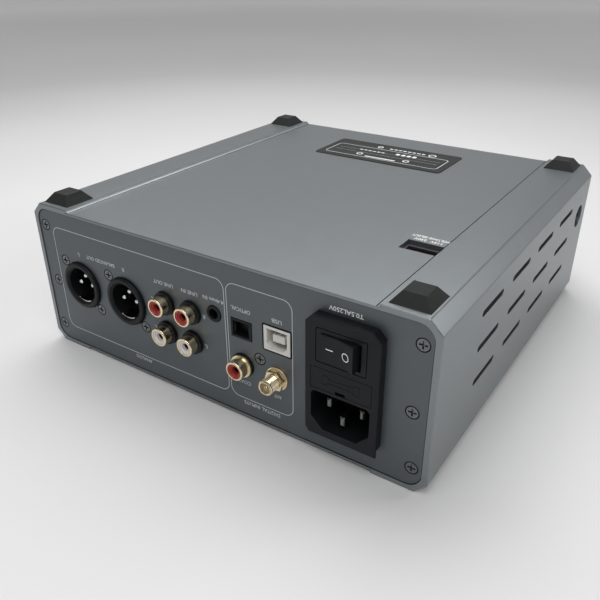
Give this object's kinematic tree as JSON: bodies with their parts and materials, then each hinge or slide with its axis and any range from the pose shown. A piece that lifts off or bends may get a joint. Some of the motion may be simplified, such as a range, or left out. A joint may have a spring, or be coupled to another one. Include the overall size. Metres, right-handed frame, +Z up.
{
  "type": "desktop dac",
  "caption": "Low metal box with a rear panel of audio sockets and a mains inlet, slotted sides, four rubber feet and front volume and headphone controls.",
  "frame": {"origin": "middle of the whole footprint, sockets and knob included, on the table that the unit lies on: the unit is upside down on its top cover, feet up, as pictured", "axes": "+Z up out of the underside, through the feet; +Y out of the rear panel, -Y out of the front panel; the mains inlet is at -X. Half a turn about Y puts it on its feet"},
  "size_m": [0.2004, 0.2226, 0.0762],
  "materials": {
    "case_blue_grey": "satin bead-blasted anodised, blue-grey",
    "panel_grey": "fine bead-blasted anodised, dark blue-grey",
    "screw_steel": "dark zinc plated",
    "foot_rubber": "matt black",
    "label_grey": "printed film, matt",
    "connector_black": "moulded, fine texture",
    "module_black": "moulded, semi-matt",
    "gilt": "gold plated, polished",
    "contact_metal": "silver plated",
    "insulator_red": "moulded, satin",
    "insulator_white": "moulded, satin",
    "usb_white": "moulded, satin",
    "selector_maroon": "dark red moulding",
    "selector_grey": "grey moulding",
    "knob_metal": "turned and anodised",
    "light_pipe": "frosted clear moulding",
    "toggle_metal": "bright plated",
    "board_green": "solder-masked glass fibre",
    "transformer_tape": "wound polyester tape",
    "capacitor_sleeve": "shrink sleeve",
    "sink_black": "black anodised",
    "chip_black": "moulded package",
    "fuse_glass": "clear tube"
  },
  "bodies": {
    "chassis": {"amp_board": "board_green", "antenna_nut": "gilt", "antenna_socket": "gilt", "antenna_washer": "gilt", "balanced_in_jack": "connector_black", "board_standoffs": "screw_steel", "capacitors": "capacitor_sleeve", "case_shell": "case_blue_grey", "chips": "chip_black", "coax_body": "connector_black", "coax_insulator": "insulator_red", "coax_shell": "gilt", "connector_screws": "screw_steel", "foot_front_left": "foot_rubber", "foot_front_right": "foot_rubber", "foot_rear_left": "foot_rubber", "foot_rear_right": "foot_rubber", "front_panel": "panel_grey", "front_panel_screws": "screw_steel", "headphone_jack_44": "connector_black", "headphone_jack_635": "connector_black", "headphone_xlr": "connector_black", "heat_sinks": "sink_black", "indicator_lens": "light_pipe", "inlet_pins": "contact_metal", "input_switch": "connector_black", "main_board": "board_green", "optical_receiver": "connector_black", "power_module": "module_black", "psu_board": "board_green", "rca_block": "connector_black", "rca_insulators_red": "insulator_red", "rca_insulators_white": "insulator_white", "rca_shells": "gilt", "rear_panel": "panel_grey", "rear_panel_screws": "screw_steel", "toggle_bodies": "screw_steel", "transformer": "transformer_tape", "transformer_clamp": "screw_steel", "underside_label": "label_grey", "update_port": "contact_metal", "usb_socket": "usb_white", "usb_tongue": "usb_white", "voltage_selector": "selector_grey", "volume_light_ring": "light_pipe", "volume_pot": "screw_steel", "xlr_contacts": "contact_metal", "xlr_housing_left": "connector_black", "xlr_housing_right": "connector_black"},
    "rocker": {"mains_rocker": "module_black"},
    "fuse_tray": {"fuse_drawer": "module_black", "fuses": "fuse_glass"},
    "selector_slide": {"voltage_selector_slider": "selector_maroon"},
    "volume": {"volume_knob": "knob_metal", "volume_shaft": "contact_metal"},
    "shutter": {"optical_shutter": "connector_black"},
    "latch": {"headphone_xlr_latch": "contact_metal"},
    "gain_lever": {"gain_toggle": "toggle_metal"},
    "output_lever": {"output_toggle": "toggle_metal"},
    "button": {"input_button": "knob_metal"}
  },
  "joints": [
    {"name": "rocker_tilt", "type": "hinge", "parent": "chassis", "child": "rocker", "pos_m": [-0.0659, 0.1046, 0.0514], "axis": [0, 0, 1], "range_deg": [0, 18]},
    {"name": "fuse_tray_slide", "type": "slide", "parent": "chassis", "child": "fuse_tray", "axis": [0, 1, 0], "range_m": [0, 0.014]},
    {"name": "voltage_selector_slide", "type": "slide", "parent": "chassis", "child": "selector_slide", "axis": [-1, 0, 0], "range_m": [0, 0.003]},
    {"name": "volume_turn", "type": "hinge", "parent": "chassis", "child": "volume", "pos_m": [-0.066, -0.0904, 0.036], "axis": [0, 1, 0], "range_deg": [-150, 150]},
    {"name": "optical_shutter_swing", "type": "hinge", "parent": "chassis", "child": "shutter", "pos_m": [-0.0188, 0.099, 0.0455], "axis": [-1, 0, 0], "range_deg": [0, 75], "stiffness_Nm_per_rad": 0.00005, "springref_deg": -28.65},
    {"name": "latch_press", "type": "slide", "parent": "chassis", "child": "latch", "axis": [0, 1, 0], "range_m": [0, 0.0016], "stiffness_N_per_m": 700, "springref_m": -0.001},
    {"name": "gain_lever_tilt", "type": "hinge", "parent": "chassis", "child": "gain_lever", "pos_m": [0.066, -0.089, 0.036], "axis": [-1, 0, 0], "range_deg": [0, 24]},
    {"name": "output_lever_tilt", "type": "hinge", "parent": "chassis", "child": "output_lever", "pos_m": [0.05, -0.089, 0.036], "axis": [-1, 0, 0], "range_deg": [0, 24]},
    {"name": "input_button_press", "type": "slide", "parent": "chassis", "child": "button", "axis": [0, 1, 0], "range_m": [0, 0.0008], "stiffness_N_per_m": 900, "springref_m": -0.0006}
  ]
}
